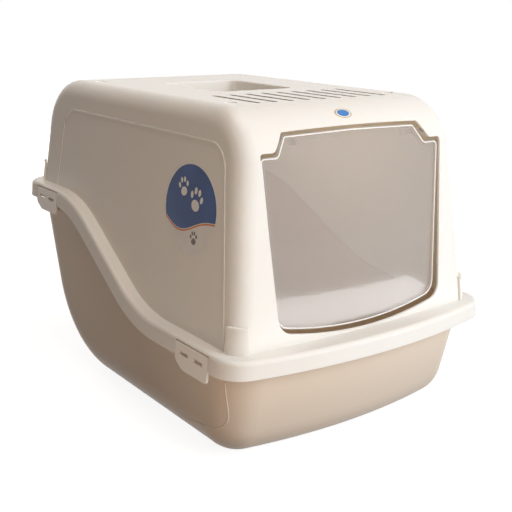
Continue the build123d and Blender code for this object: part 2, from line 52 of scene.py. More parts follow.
bl_info = {
    "name": "Hooded Litter Box",
    "version": (1, 0, 0),
    "blender": (4, 0, 0),
    "location": "3D View > Sidebar > Litter Box",
    "description": "Finishes the pieces of a hooded cat litter box and sets up a pale studio",
    "category": "Object",
}

# Pieces in the off-white plastic
SHELL_PIECES = ("hood", "carry_handle", "filter_frame")
CLIPS = ("front_left_clip", "front_right_clip", "rear_left_clip", "rear_right_clip")

# Steps round a thin line, along its path, round its corners and round a printed oval; rings of the sticker
TUBE_STEPS = 10
PATH_STEPS = 24
CORNER_STEPS = 10
CURVE_STEPS = 96
DRAPE_RINGS = 5

# Between which values of a cloudy pattern the tones blend, and between which a number follows it
TONE_LOW, TONE_HIGH = 0.35, 0.65
SPREAD_LOW, SPREAD_HIGH = 0.3, 0.7

MOULDED_IOR = 1.49
DOOR_IOR = 1.5
WHITE = (1.0, 1.0, 1.0)

# Places of the two colours and of their blend among a mix node's sockets
MIX_FIRST, MIX_SECOND, MIX_RESULT = 6, 7, 2

# The way the door's broad faces look; a face turned off it passes into an edge between these values, and the
# edges get a painted highlight
DOOR_FACING = (0.0, -0.98, 0.2)
EDGE_STARTS, EDGE_FULL = 0.75, 0.45

# The bead low on the tray's side, as Y and Z: down from its top, round the corner and back to its tail
BEAD_TOP = Vector((-0.2187, 0.1000))
BEAD_TURN_IN = Vector((-0.2187, 0.0660))
BEAD_CORNER = Vector((-0.2187, 0.0428))
BEAD_TURN_OUT = Vector((-0.1990, 0.0388))
BEAD_TAIL = Vector((-0.1240, 0.0237))
# The bead's share of its thickness at the tail, how fast it fills out, and the half width of the tray's wall
BEAD_TAIL_SHARE = 0.25
BEAD_TAPER = 3.0
TRAY_WALL_LIMIT = 0.18

# Corner radii of the line round the door, and where its run along the foot begins
HEAD_ROUND, NECK_ROUND, SIDE_ROUND, FOOT_ROUND = 0.004, 0.007, 0.004, 0.017
LINE_FOOT_SHARE = 0.84

# The pad's stitched dents, which keep off its rounded edge
DENT_SHARPNESS = 6
FLAT_ENOUGH = 0.05

# How far off the hood a draped layer starts, and the reach over which the side panel's slope is taken
DRAPE_START = 0.03
PANEL_REACH = 0.03

# The label's blue field: its share of the whole oval and the arc that bounds it
FIELD_INSET = 0.97
FIELD_START, FIELD_STOP = math.radians(-8), math.radians(196)
# The field's wavy foot and the stripe under it, as shares of the label's half height
WAVE_DROP, WAVE_SWAY = 0.20, 0.10
STRIPE_TOP, STRIPE_FOOT = 0.020, 0.055

# A paw mark: place, half length, half height and lean of its pad, then of its four toes
PAW_SHAPES = (
    ((0.0, -0.30), 0.48, 0.40, 0.0),
    ((-0.62, 0.30), 0.17, 0.25, 0.2),
    ((-0.24, 0.70), 0.17, 0.25, 0.05),
    ((0.24, 0.70), 0.17, 0.25, -0.05),
    ((0.62, 0.30), 0.17, 0.25, -0.2),
)
# Paw marks on the label: place and size as shares of its half sizes, and turn
WHITE_PAWS = (((-0.30, 0.42), 0.24, 0.25), ((0.20, 0.20), 0.30, -0.20))
GREY_PAW = ((0.22, -0.62), 0.17, 0.15)

# The sticker's layers, as shares of its whole size
RING_SHARE, SHEET_SHARE, FIELD_SHARE = 1.0, 0.90, 0.70

# Each lamp's place, aim and size in metres, the names of its power and tint, and the rays that pass it by
Lamp = namedtuple("Lamp", "name place aim size power tint hidden")
LAMPS = (
    Lamp(
        "key_lamp", (0.95, -2.05, 1.05), (0.0, -0.20, 0.20), (1.5, 1.5),
        "key_power", "key_tint", ("glossy",),
    ),
    Lamp(
        "fill_lamp", (-0.75, -1.30, 0.55), (-0.10, -0.10, 0.20), (1.0, 1.0),
        "fill_power", "fill_tint", (),
    ),
    Lamp(
        "top_lamp", (-0.12, -0.15, 2.20), (0.0, 0.0, 0.30), (1.2, 1.2),
        "top_power", "top_tint", (),
    ),
    Lamp(
        "rear_lamp", (0.40, 2.30, 0.55), (0.0, 0.2, 0.15), (1.4, 1.4),
        "rear_power", "top_tint", ("glossy",),
    ),
    Lamp(
        "edge_lamp", (-0.35, -2.10, 0.90), (0.0, 0.0, 0.20), (0.5, 1.0),
        "edge_power", None, ("glossy",),
    ),
    Lamp(
        "floor_lamp", (-0.85, -0.75, 0.004), (-0.85, -0.75, 1.0), (1.2, 1.2),
        "floor_power", "fill_tint", ("camera", "glossy"),
    ),
    Lamp(
        "inner_lamp", (-0.07, -0.02, 0.315), (0.17, 0.02, 0.31), (0.24, 0.08),
        "inner_power", "inner_tint", ("camera", "glossy"),
    ),
    Lamp(
        "front_lamp", (0.15, -0.95, 0.004), (0.15, -0.95, 1.0), (1.4, 1.0),
        "front_power", None, ("camera", "glossy"),
    ),
    Lamp(
        "low_card", (0.557, -0.925, 0.003), (0.557, -0.925, 1.0), (0.60, 0.40),
        "card_power", None, ("camera", "diffuse"),
    ),
)
CARD_TURN = math.radians(27)


def colour(name, description, default):
    """A colour that a user may change."""
    return FloatVectorProperty(
        name=name, description=description, default=default, size=3, min=0.0, max=1.0, subtype="COLOR"
    )


def length(name, description, default):
    """A length that a user may change."""
    return FloatProperty(name=name, description=description, default=default, unit="LENGTH", precision=4)


def angle(name, description, default):
    """An angle that a user may change, given in degrees."""
    return FloatProperty(name=name, description=description, default=math.radians(default), subtype="ANGLE")


def share(name, description, default):
    """A part of a whole that a user may change."""
    return FloatProperty(
        name=name, description=description, default=default, min=0.0, max=1.0, subtype="FACTOR"
    )


def power(name, description, default):
    """A lamp's power in watts that a user may change."""
    return FloatProperty(name=name, description=description, default=default, min=0.0, unit="POWER")


def count(name, description, default):
    """A number of like things that a user may change."""
    return IntProperty(name=name, description=description, default=default, min=1)


class PlasticFinish(bpy.types.PropertyGroup):
    """Colours and gloss of the moulded pieces."""

    hood_pale: colour("Hood, pale", "Lighter tone of the off-white shell", (0.878, 0.860, 0.824))
    hood_deep: colour("Hood, deep", "Deeper tone of the off-white shell", (0.875, 0.856, 0.819))
    hood_glow: colour("Hood glow", "Reach of light inside the shell, by colour", (1.0, 0.78, 0.58))
    hood_depth: share("Hood depth", "Share of light that enters the shell", 0.30)
    hood_gloss: share("Hood roughness", "Roughness of the shell", 0.27)
    tray_pale: colour("Tray, pale", "Lighter tone of the taupe pan", (0.785, 0.682, 0.575))
    tray_deep: colour("Tray, deep", "Deeper tone of the taupe pan", (0.778, 0.674, 0.567))
    tray_gloss: share("Tray roughness", "Roughness of the pan", 0.38)
    tray_bead: length("Tray bead", "Radius of the thin bead on the tray's sides", 0.0008)
    door_pale: colour("Door, pale", "Lighter tone of the smoky door", (0.600, 0.580, 0.580))
    door_deep: colour("Door, deep", "Deeper tone of the smoky door", (0.565, 0.548, 0.550))
    # This tone is a painted highlight on the door's thin edges and on the line round the door
    door_edge_highlight: colour("Door edge", "Tone of the door's bright edges", (0.96, 0.94, 0.92))
    door_cover: share("Door cover", "How much of the view each face hides", 0.28)
    edge_cover: share("Edge cover", "How much of the view each edge hides", 0.85)
    door_gloss: share("Door roughness", "Roughness of the door", 0.10)


class DoorLine(bpy.types.PropertyGroup):
    """Places and thickness of the bright line round the swing door."""

    line_radius: length("Line radius", "Radius of the line round the door", 0.0009)
    line_top: length("Line top", "Height of the line at the middle of the door's top", 0.3538)
    line_head_x: length("Head X", "Half width of the line at the door's top", 0.0938)
    line_head_z: length("Head Z", "Height of the line at the door's top corners", 0.3518)
    line_neck_x: length("Neck X", "Half width of the line at the foot of the notches", 0.1068)
    line_neck_z: length("Neck Z", "Height of the line under the notches", 0.3318)
    line_side_x: length("Side X", "Half width of the line at the door's upper corners", 0.1285)
    line_foot_x: length("Foot X", "Half width of the line at the door's lower corners", 0.1175)
    line_foot_z: length("Foot Z", "Height of the line at the door's lower corners", 0.1547)
    line_bottom: length("Line bottom", "Height of the line at the middle of the door's foot", 0.1413)


class PadFinish(bpy.types.PropertyGroup):
    """Sizes and colours of the carbon felt pad."""

    felt_pale: colour("Felt, pale", "Lighter fibres of the pad", (0.200, 0.166, 0.132))
    felt_deep: colour("Felt, deep", "Darker fibres of the pad", (0.130, 0.108, 0.086))
    edge_round: length("Edge round", "How far the pad's edges are drawn in", 0.0025)
    dent: length("Stitch dent", "Depth of the stitched dents", 0.0009)
    dents_long: count("Dents along", "Rows of dents along the pad", 9)
    dents_wide: count("Dents across", "Rows of dents across the pad", 4)
    columns: count("Columns", "Mesh columns along the pad", 108)
    rows: count("Rows", "Mesh rows across the pad", 48)


class LabelFinish(bpy.types.PropertyGroup):
    """Place, sizes and colours of the side label with paw marks and the small front sticker."""

    centre_y: length("Label place", "Middle of the label along the side panel", -0.1355)
    centre_z: length("Label height", "Height of the label's middle", 0.2695)
    half_long: length("Label half length", "Half length of the label along the panel", 0.052)
    half_high: length("Label half height", "Half height of the label up the panel", 0.0500)
    sheet: length("Label sheet", "Thickness of each printed layer", 0.00012)
    sticker_half_long: length("Sticker half length", "Half length of the front sticker", 0.0115)
    sticker_half_high: length("Sticker half height", "Half height of the front sticker", 0.0072)
    sticker_x: length("Sticker X", "Place of the front sticker across the hood", -0.0042)
    sticker_y: length("Sticker Y", "Place of the front sticker along the hood", -0.2005)
    sticker_z: length("Sticker Z", "Height of the front sticker", 0.3704)
    sticker_tilt: angle("Sticker tilt", "Lean of the front sticker", 35.6)
    gold: colour("Gold", "Thin ring of the front sticker", (0.62, 0.42, 0.12))
    blue_deep: colour("Deep blue", "Deeper printed blue", (0.016, 0.050, 0.205))
    blue_pale: colour("Pale blue", "Paler printed blue", (0.028, 0.085, 0.290))
    sky: colour("Sky blue", "Middle of the front sticker", (0.060, 0.230, 0.600))
    paper: colour("Paper", "White of the label", (0.86, 0.85, 0.83))
    orange: colour("Orange", "Thin printed line", (0.72, 0.20, 0.035))
    grey: colour("Grey", "Printed marks on the white part", (0.16, 0.14, 0.13))


class StudioLook(bpy.types.PropertyGroup):
    """Camera, lamps and floor."""

    camera_azimuth: angle("Camera azimuth", "Turn of the view to the box's left", 36.480)
    camera_elevation: angle("Camera elevation", "Downward tilt of the view", 15.752)
    camera_roll: angle("Camera roll", "Turn of the picture about the view", 0.804)
    camera_x: length("Camera X", "Camera place across the box", -0.661805)
    camera_y: length("Camera Y", "Camera place along the box", -0.933133)
    camera_z: length("Camera Z", "Camera height", 0.482579)
    focal: FloatProperty(name="Focal length", description="Focal length in picture widths", default=1.73484)
    key_power: power("Key power", "Power of the large front lamp", 37.5)
    key_tint: colour("Key tint", "Colour of the large front lamp", (0.905, 0.957, 1.0))
    top_power: power("Top power", "Power of the overhead lamp", 19.0)
    top_tint: colour("Top tint", "Colour of the overhead lamp and the rear lamp", (1.0, 0.88, 0.77))
    edge_power: power("Edge power", "Power of the narrow front lamp", 5.0)
    rear_power: power("Rear power", "Power of the lamp behind the box", 26.0)
    fill_power: power("Fill power", "Power of the left front lamp", 2.5)
    fill_tint: colour("Fill tint", "Colour of the left front lamp and the floor lamp", (1.0, 0.755, 0.56))
    floor_power: power("Floor power", "Power of the left floor lamp", 2.4)
    front_power: power("Front power", "Power of the front floor lamp", 4.5)
    inner_power: power("Inner power", "Power of the light let in by the shell", 0.15)
    inner_tint: colour("Inner tint", "Colour of the light let in by the shell", (1.0, 0.74, 0.46))
    card_power: power("Card power", "Power of the low card", 6.0)
    floor_half: length("Floor half size", "Half width of the pale floor", 6.0)
    floor_bounce: colour("Floor bounce", "Colour that the floor throws back", (0.28, 0.22, 0.17))
    floor_seen: colour("Floor seen", "Matt part of the floor in the picture", (0.30, 0.30, 0.30))
    floor_glow: share("Floor glow", "Even part of the floor near the box", 0.90)
    floor_near: length("Floor near", "Where the floor starts to pale", 0.45)
    floor_far: length("Floor far", "Where the floor is quite white", 1.10)
    room_light: colour("Room light", "Even light from the room", (0.038, 0.027, 0.019))


def settings(kind):
    """The scene's values for one group of pieces."""
    return getattr(bpy.context.scene, "litter_box_" + kind)


def start_material(name):
    """A new material, with its nodes, links and shader."""
    material = bpy.data.materials.new(name)
    material.use_nodes = True
    nodes = material.node_tree.nodes
    return material, nodes, material.node_tree.links, nodes["Principled BSDF"]


def set_values(node, values):
    """Sets a node's own values by the names of its sockets."""
    for name, value in values.items():
        node.inputs[name].default_value = value


def noise(nodes, links, scale, detail=3.0, stretch=None):
    """Factor of a cloudy pattern fixed to the object."""
    place = nodes.new("ShaderNodeTexCoord").outputs["Object"]
    if stretch:
        mapping = nodes.new("ShaderNodeMapping")
        set_values(mapping, {"Scale": stretch})
        links.new(place, mapping.inputs["Vector"])
        place = mapping.outputs["Vector"]
    pattern = nodes.new("ShaderNodeTexNoise")
    set_values(pattern, {"Scale": scale, "Detail": detail})
    links.new(place, pattern.inputs["Vector"])
    return pattern.outputs["Fac"]


def two_tones(nodes, links, factor, deep, pale, target):
    """Blends two tones over a pattern into a colour socket."""
    ramp = nodes.new("ShaderNodeValToRGB")
    ends = ramp.color_ramp.elements
    ends[0].position, ends[1].position = TONE_LOW, TONE_HIGH
    ends[0].color, ends[1].color = (*deep, 1.0), (*pale, 1.0)
    links.new(factor, ramp.inputs["Fac"])
    links.new(ramp.outputs["Color"], target)


def spread(nodes, links, factor, middle, swing, target):
    """Varies a number about its middle over a pattern."""
    span = nodes.new("ShaderNodeMapRange")
    set_values(span, {"From Min": SPREAD_LOW, "From Max": SPREAD_HIGH})
    set_values(span, {"To Min": middle - swing, "To Max": middle + swing})
    links.new(factor, span.inputs["Value"])
    links.new(span.outputs["Result"], target)


def deeper(tone, part):
    """A tone brought down to part of its strength."""
    return Vector(tone) * part


def grain(nodes, links, shader, factor, strength, depth):
    """Raises a pattern as fine surface relief."""
    bump = nodes.new("ShaderNodeBump")
    set_values(bump, {"Strength": strength, "Distance": depth})
    links.new(factor, bump.inputs["Height"])
    links.new(bump.outputs["Normal"], shader.inputs["Normal"])


def hood_plastic():
    """Off-white moulded plastic: soft gloss, faint flow marks and a little depth."""
    look = settings("plastic")
    material, nodes, links, shader = start_material("hood_plastic")
    flow = noise(nodes, links, scale=2.5, detail=0.0)
    two_tones(nodes, links, flow, look.hood_deep, look.hood_pale, shader.inputs["Base Color"])
    grain(nodes, links, shader, noise(nodes, links, scale=110.0, detail=1.0), strength=0.02, depth=0.0002)
    set_values(shader, {
        "Roughness": look.hood_gloss,
        "Subsurface Weight": look.hood_depth,
        "Subsurface Radius": look.hood_glow,
        "Subsurface Scale": 0.005,
        "IOR": MOULDED_IOR,
        "Specular IOR Level": 0.25,
    })
    return material


def tray_plastic():
    """Taupe moulded plastic with a satin grain."""
    look = settings("plastic")
    material, nodes, links, shader = start_material("tray_plastic")
    flow = noise(nodes, links, scale=3.0, detail=0.0)
    two_tones(nodes, links, flow, look.tray_deep, look.tray_pale, shader.inputs["Base Color"])
    grain(nodes, links, shader, noise(nodes, links, scale=130.0, detail=1.0), strength=0.03, depth=0.0002)
    set_values(shader, {"Roughness": look.tray_gloss, "IOR": MOULDED_IOR, "Specular IOR Level": 0.2})
    return material


def edge_factor(nodes, links):
    """A factor that is 1 on the door's thin edges and 0 on its broad faces; it places the painted highlight
    on the edges.
    """
    facing = nodes.new("ShaderNodeVectorMath")
    facing.operation = "DOT_PRODUCT"
    links.new(nodes.new("ShaderNodeTexCoord").outputs["Normal"], facing.inputs[0])
    facing.inputs[1].default_value = DOOR_FACING
    turn = nodes.new("ShaderNodeMath")
    turn.operation = "ABSOLUTE"
    links.new(facing.outputs["Value"], turn.inputs[0])
    edge = nodes.new("ShaderNodeMapRange")
    set_values(edge, {"From Min": EDGE_STARTS, "From Max": EDGE_FULL})
    links.new(turn.outputs["Value"], edge.inputs["Value"])
    return edge.outputs["Result"]


def door_plastic():
    """Smoky see-through plastic with a polished face, and a painted highlight in near-white on its thin
    edges.
    """
    look = settings("plastic")
    material, nodes, links, shader = start_material("door_plastic")
    edge = edge_factor(nodes, links)
    blend = nodes.new("ShaderNodeMix")
    blend.data_type = "RGBA"
    links.new(edge, blend.inputs["Factor"])
    flow = noise(nodes, links, scale=5.0, detail=0.0)
    two_tones(nodes, links, flow, look.door_deep, look.door_pale, blend.inputs[MIX_FIRST])
    # Painted highlight: the door's thin edges take this near-white tone
    blend.inputs[MIX_SECOND].default_value = (*look.door_edge_highlight, 1.0)
    links.new(blend.outputs[MIX_RESULT], shader.inputs["Base Color"])
    cover = nodes.new("ShaderNodeMapRange")
    set_values(cover, {"To Min": look.door_cover, "To Max": look.edge_cover})
    links.new(edge, cover.inputs["Value"])
    links.new(cover.outputs["Result"], shader.inputs["Alpha"])
    grain(nodes, links, shader, noise(nodes, links, scale=9.0, detail=0.0), strength=0.006, depth=0.0003)
    set_values(shader, {
        "Roughness": look.door_gloss,
        "IOR": DOOR_IOR,
        "Coat Weight": 0.35,
        "Coat IOR": 2.0,
        "Coat Roughness": 0.03,
    })
    return material


def highlight_line_plastic():
    """Moulded line round the door, a little milky and polished; its near-white tone is a painted highlight
    along the door's rim.
    """
    look = settings("plastic")
    material, nodes, links, shader = start_material("door_line")
    flow = noise(nodes, links, scale=12.0, detail=0.0)
    # Painted highlight: the line takes the near-white tone of the door's edge highlight
    deep = deeper(look.door_edge_highlight, part=0.985)
    two_tones(nodes, links, flow, deep, look.door_edge_highlight, shader.inputs["Base Color"])
    set_values(shader, {"Roughness": 0.2, "Subsurface Weight": 0.3, "Subsurface Scale": 0.002})
    return material


def charcoal_felt():
    """Dull charcoal felt of short fibres."""
    look = settings("pad")
    material, nodes, links, shader = start_material("charcoal_felt")
    fibres = noise(nodes, links, scale=420.0, detail=6.0, stretch=(1.0, 0.45, 1.0))
    two_tones(nodes, links, fibres, look.felt_deep, look.felt_pale, shader.inputs["Base Color"])
    dull = noise(nodes, links, scale=300.0)
    spread(nodes, links, dull, middle=0.93, swing=0.05, target=shader.inputs["Roughness"])
    grain(nodes, links, shader, fibres, strength=0.7, depth=0.0006)
    set_values(shader, {"Sheen Weight": 0.25})
    return material


def printed(name, deep, pale, scale=60.0):
    """Printed film with a light sheen and slightly uneven ink."""
    material, nodes, links, shader = start_material(name)
    ink = noise(nodes, links, scale, detail=0.0)
    two_tones(nodes, links, ink, deep, pale, shader.inputs["Base Color"])
    set_values(shader, {"Roughness": 0.30, "Specular IOR Level": 0.25})
    return material


def finish_node(name, material):
    """Gives a moulded piece its finish."""
    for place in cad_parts[name].material_slots:
        place.material = material


def add_object(name, mesh, material, body):
    """Puts a new mesh in the scene on a body."""
    piece = bpy.data.objects.new(name, mesh)
    bpy.context.scene.collection.objects.link(piece)
    mesh.materials.append(material)
    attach(piece, body)
    return piece


def mesh_from(name, form):
    """A mesh of the finished form."""
    mesh = bpy.data.meshes.new(name)
    form.to_mesh(mesh)
    form.free()
    return mesh


def surface(name):
    """A moulded piece whose surface can be felt for."""
    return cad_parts[name].evaluated_get(bpy.context.evaluated_depsgraph_get())


def feel(piece, start, direction):
    """Where a straight line from a start meets a piece, and the way its surface faces there."""
    met, spot, normal = piece.ray_cast(start, direction)[:3]
    if not met:
        raise RuntimeError("no surface was met from %.4f, %.4f, %.4f" % tuple(start))
    return spot, normal


def tube_mesh(name, spots, facings, radii, closed):
    """Round line half sunk in a surface, as a closed loop or with flat ends."""
    form = bmesh.new()
    last = len(spots) - 1
    rings = []
    for k, (spot, radius) in enumerate(zip(spots, radii)):
        if closed:
            along = (spots[(k + 1) % len(spots)] - spots[k - 1]).normalized()
        else:
            along = (spots[min(k + 1, last)] - spots[max(k - 1, 0)]).normalized()
        across = along.cross(facings[k]).normalized()
        above = across.cross(along)
        ring = []
        for step in range(TUBE_STEPS):
            t = 2 * math.pi * step / TUBE_STEPS
            ring.append(form.verts.new(spot + radius * (math.cos(t) * above + math.sin(t) * across)))
        rings.append(ring)
    for k in range(0 if closed else 1, len(rings)):
        before, after = rings[k - 1], rings[k]
        for step in range(TUBE_STEPS):
            form.faces.new([before[step - 1], before[step], after[step], after[step - 1]]).smooth = True
    if not closed:
        form.faces.new(rings[0])
        form.faces.new(rings[-1])
    bmesh.ops.recalc_face_normals(form, faces=form.faces)
    return mesh_from(name, form)


class LITTERBOX_OT_hood(bpy.types.Operator):
    """Finish the hood, its handle and the filter's frame in off-white plastic"""

    bl_idname = "litterbox.hood"
    bl_label = "Hood"

    def execute(self, context):
        material = hood_plastic()
        for name in SHELL_PIECES:
            finish_node(name, material)
        return {"FINISHED"}


class LITTERBOX_OT_clips(bpy.types.Operator):
    """Finish the four side clips in the hood's plastic"""

    bl_idname = "litterbox.clips"
    bl_label = "Clips"

    def execute(self, context):
        material = bpy.data.materials["hood_plastic"]
        for name in CLIPS:
            finish_node(name, material)
        return {"FINISHED"}


def bead_path():
    """Places along the thin bead low on the tray's side, each as its Y and Z."""
    places = [BEAD_TOP.lerp(BEAD_TURN_IN, k / PATH_STEPS) for k in range(PATH_STEPS)]
    for k in range(PATH_STEPS):
        t = k / PATH_STEPS
        places.append(BEAD_TURN_IN.lerp(BEAD_CORNER, t).lerp(BEAD_CORNER.lerp(BEAD_TURN_OUT, t), t))
    places += [BEAD_TURN_OUT.lerp(BEAD_TAIL, k / PATH_STEPS) for k in range(PATH_STEPS + 1)]
    return places


def bead_mesh(name, side, radius):
    """Round bead half sunk in the tray's wall on one side, fading out at its tail."""
    tray = surface("litter_tray")
    spots, facings = [], []
    for y, z in bead_path():
        spot, normal = feel(tray, Vector((side, y, z)), Vector((-side, 0.0, 0.0)))
        if abs(spot.x) > TRAY_WALL_LIMIT:
            raise RuntimeError("the tray's rim is in the way of its wall")
        spots.append(spot)
        facings.append(normal)
    last = len(spots) - 1
    fades = [min(1.0, BEAD_TAIL_SHARE + BEAD_TAPER * (last - k) / last) for k in range(len(spots))]
    return tube_mesh(name, spots, facings, [radius * fade for fade in fades], closed=False)


class LITTERBOX_OT_tray(bpy.types.Operator):
    """Finish the litter tray in taupe plastic, with a thin bead low on each side"""

    bl_idname = "litterbox.tray"
    bl_label = "Tray"

    def execute(self, context):
        plastic = tray_plastic()
        finish_node("litter_tray", plastic)
        radius = settings("plastic").tray_bead
        for name, side in (("tray_bead_left", -1.0), ("tray_bead_right", 1.0)):
            add_object(name, bead_mesh(name, side, radius), plastic, "tray")
        return {"FINISHED"}


def door_corners(look):
    """Corners round the door just inside its edge, each as its X, Z and radius."""
    top = [(0.0, look.line_top, 0.0)]
    right = [
        (look.line_head_x, look.line_head_z, HEAD_ROUND),
        (look.line_neck_x, look.line_neck_z, NECK_ROUND),
        (look.line_side_x, look.line_neck_z, SIDE_ROUND),
        (look.line_foot_x, look.line_foot_z, FOOT_ROUND),
    ]
    bow = look.line_foot_z - look.line_bottom
    for k in range(PATH_STEPS):
        part = LINE_FOOT_SHARE * (1 - k / PATH_STEPS)
        right.append((look.line_foot_x * part, look.line_bottom + bow * part**2, 0.0))
    left = [(-x, z, radius) for x, z, radius in right[::-1]]
    return top + right + [(0.0, look.line_bottom, 0.0)] + left


def door_loop(look):
    """Places round the door just inside its edge, each as its X and Z."""
    corners = door_corners(look)
    places = []
    for k, (x, z, radius) in enumerate(corners):
        here = Vector((x, z))
        if not radius:
            places.append(here)
            continue
        before = (Vector(corners[k - 1][:2]) - here).normalized()
        after = (Vector(corners[(k + 1) % len(corners)][:2]) - here).normalized()
        half_turn = before.angle(after) / 2
        cut = radius / math.tan(half_turn)
        centre = here + (before + after).normalized() * radius / math.sin(half_turn)
        first, last = here + before * cut - centre, here + after * cut - centre
        start = math.atan2(first.y, first.x)
        sweep = (math.atan2(last.y, last.x) - start + math.pi) % (2 * math.pi) - math.pi
        for step in range(CORNER_STEPS + 1):
            t = start + sweep * step / CORNER_STEPS
            places.append(centre + radius * Vector((math.cos(t), math.sin(t))))
    return places


def line_mesh(name, look):
    """Round line half sunk in the door's face, in one closed loop."""
    door = surface("door_flap")
    spots, facings = [], []
    for x, z in door_loop(look):
        spot, normal = feel(door, Vector((x, -1.0, z)), Vector((0.0, 1.0, 0.0)))
        spots.append(spot)
        facings.append(normal)
    return tube_mesh(name, spots, facings, [look.line_radius] * len(spots), closed=True)


class LITTERBOX_OT_door(bpy.types.Operator):
    """Finish the swing door in smoky plastic, with painted highlights on its thin edges and in the bright
    line round its edge
    """

    bl_idname = "litterbox.door"
    bl_label = "Swing door"

    def execute(self, context):
        finish_node("door_flap", door_plastic())
        mesh = line_mesh("door_line", settings("door_line"))
        add_object("door_line", mesh, highlight_line_plastic(), "flap")
        return {"FINISHED"}


def pad_mesh(name, low, high, look):
    """Closed pad with rounded, drawn-in edges and rows of stitched dents."""
    size = high - low
    middle = (low + high) / 2
    columns, rows = look.columns, look.rows
    form = bmesh.new()
    verts = {}
    for level in (-1, 1):
        for i in range(columns + 1):
            for j in range(rows + 1):
                u = 2 * i / columns - 1
                v = 2 * j / rows - 1
                edge = min((1 - abs(u)) * size.x / 2, (1 - abs(v)) * size.y / 2, look.edge_round)
                if level > 0 and edge <= 0:
                    verts[level, i, j] = verts[-1, i, j]
                    continue
                fall = 1 - math.sqrt(max(0.0, 1 - (1 - edge / look.edge_round) ** 2))
                wave_u = math.cos(math.pi * look.dents_long * u) ** 2
                wave_v = math.cos(math.pi * look.dents_wide * v) ** 2
                dent = look.dent * (wave_u * wave_v) ** DENT_SHARPNESS
                height = size.z / 2 * (1 - fall) - (dent if fall < FLAT_ENOUGH else 0.0)
                place = middle + Vector((u * size.x / 2, v * size.y / 2, level * height))
                verts[level, i, j] = form.verts.new(place)
    for level in (-1, 1):
        for i in range(columns):
            for j in range(rows):
                steps = ((i, j), (i + 1, j), (i + 1, j + 1), (i, j + 1))
                ring = [verts[level, column, row] for column, row in steps]
                form.faces.new(ring if level > 0 else ring[::-1]).smooth = True
    return mesh_from(name, form)


class LITTERBOX_OT_pad(bpy.types.Operator):
    """Make the carbon felt pad that lies in the filter frame"""

    bl_idname = "litterbox.pad"
    bl_label = "Carbon pad"

    def execute(self, context):
        low, high = (Vector(corner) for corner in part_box("carbon_filter"))
        mesh = pad_mesh("carbon_pad", low, high, settings("pad"))
        pad = add_object("carbon_pad", mesh, charcoal_felt(), "filter")
        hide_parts("carbon_filter")
        return {"FINISHED"}


def layer_mesh(name, outline, place, low, high):
    """Thin flat layer with a given outline, set between two heights on a placed plane."""
    form = bmesh.new()
    top = [form.verts.new(place @ Vector((x, y, high))) for x, y in outline]
    base = [form.verts.new(place @ Vector((x, y, low))) for x, y in outline]
    form.faces.new(top)
    form.faces.new(base[::-1])
    for k in range(len(outline)):
        form.faces.new([base[k - 1], base[k], top[k], top[k - 1]])
    bmesh.ops.recalc_face_normals(form, faces=form.faces)
    bmesh.ops.triangulate(form, faces=[face for face in form.faces if len(face.verts) > 4])
    return mesh_from(name, form)


def draped_mesh(name, outline, place, low, high):
    """Thin layer with a given outline, laid on the hood's curved surface under a placed plane."""
    hood = surface("hood")
    outward = place.to_3x3() @ Vector((0.0, 0.0, 1.0))
    form = bmesh.new()
    rims = []
    for rise in (low, high):
        rings = []
        for ring in range(DRAPE_RINGS + 1):
            part = ring / DRAPE_RINGS
            verts = []
            for x, y in outline if ring else outline[:1]:
                start = place @ Vector((x * part, y * part, DRAPE_START))
                verts.append(form.verts.new(feel(hood, start, -outward)[0] + outward * rise))
            rings.append(verts)
        middle = rings[0][0]
        for k in range(len(outline)):
            form.faces.new([middle, rings[1][k - 1], rings[1][k]]).smooth = True
            for inner, outer in zip(rings[1:], rings[2:]):
                form.faces.new([inner[k - 1], outer[k - 1], outer[k], inner[k]]).smooth = True
        rims.append(rings[-1])
    base, top = rims
    for k in range(len(outline)):
        form.faces.new([base[k - 1], base[k], top[k], top[k - 1]])
    bmesh.ops.recalc_face_normals(form, faces=form.faces)
    return mesh_from(name, form)


def turned(x, y, turn):
    """A place turned about the middle."""
    return x * math.cos(turn) - y * math.sin(turn), x * math.sin(turn) + y * math.cos(turn)


def oval(half_long, half_high, centre=(0.0, 0.0), turn=0.0, start=0.0, stop=2 * math.pi):
    """Points round an oval, or along part of it."""
    whole = stop - start >= 2 * math.pi
    steps = CURVE_STEPS if whole else CURVE_STEPS // 2
    points = []
    for k in range(steps if whole else steps + 1):
        t = start + (stop - start) * k / steps
        x, y = turned(half_long * math.cos(t), half_high * math.sin(t), turn)
        points.append((centre[0] + x, centre[1] + y))
    return points


def paw(centre, size, turn):
    """Outlines of a plain paw mark: one pad and four toes."""
    outlines = []
    for spot, half_long, half_high, lean in PAW_SHAPES:
        x, y = turned(*spot, turn)
        middle = (centre[0] + size * x, centre[1] + size * y)
        outlines.append(oval(size * half_long, size * half_high, middle, turn + lean))
    return outlines


def side_panel_plane(y, z):
    """Plane on the left side panel: local X to the front, local Y up, local Z outward."""
    hood = surface("hood")
    spots = []
    for height in (z - PANEL_REACH, z + PANEL_REACH):
        spots.append(feel(hood, Vector((-1.0, y, height)), Vector((1.0, 0.0, 0.0)))[0])
    up = (spots[1] - spots[0]).normalized()
    ahead = Vector((0.0, -1.0, 0.0))
    outward = ahead.cross(up)
    middle = (spots[0] + spots[1]) / 2
    return Matrix.Translation(middle) @ Matrix((ahead, up, outward)).transposed().to_4x4()


def add_layer(name, outline, place, low, high, material):
    """Lays one flat printed layer on the hood."""
    add_object(name, layer_mesh(name, outline, place, low, high), material, "hood")


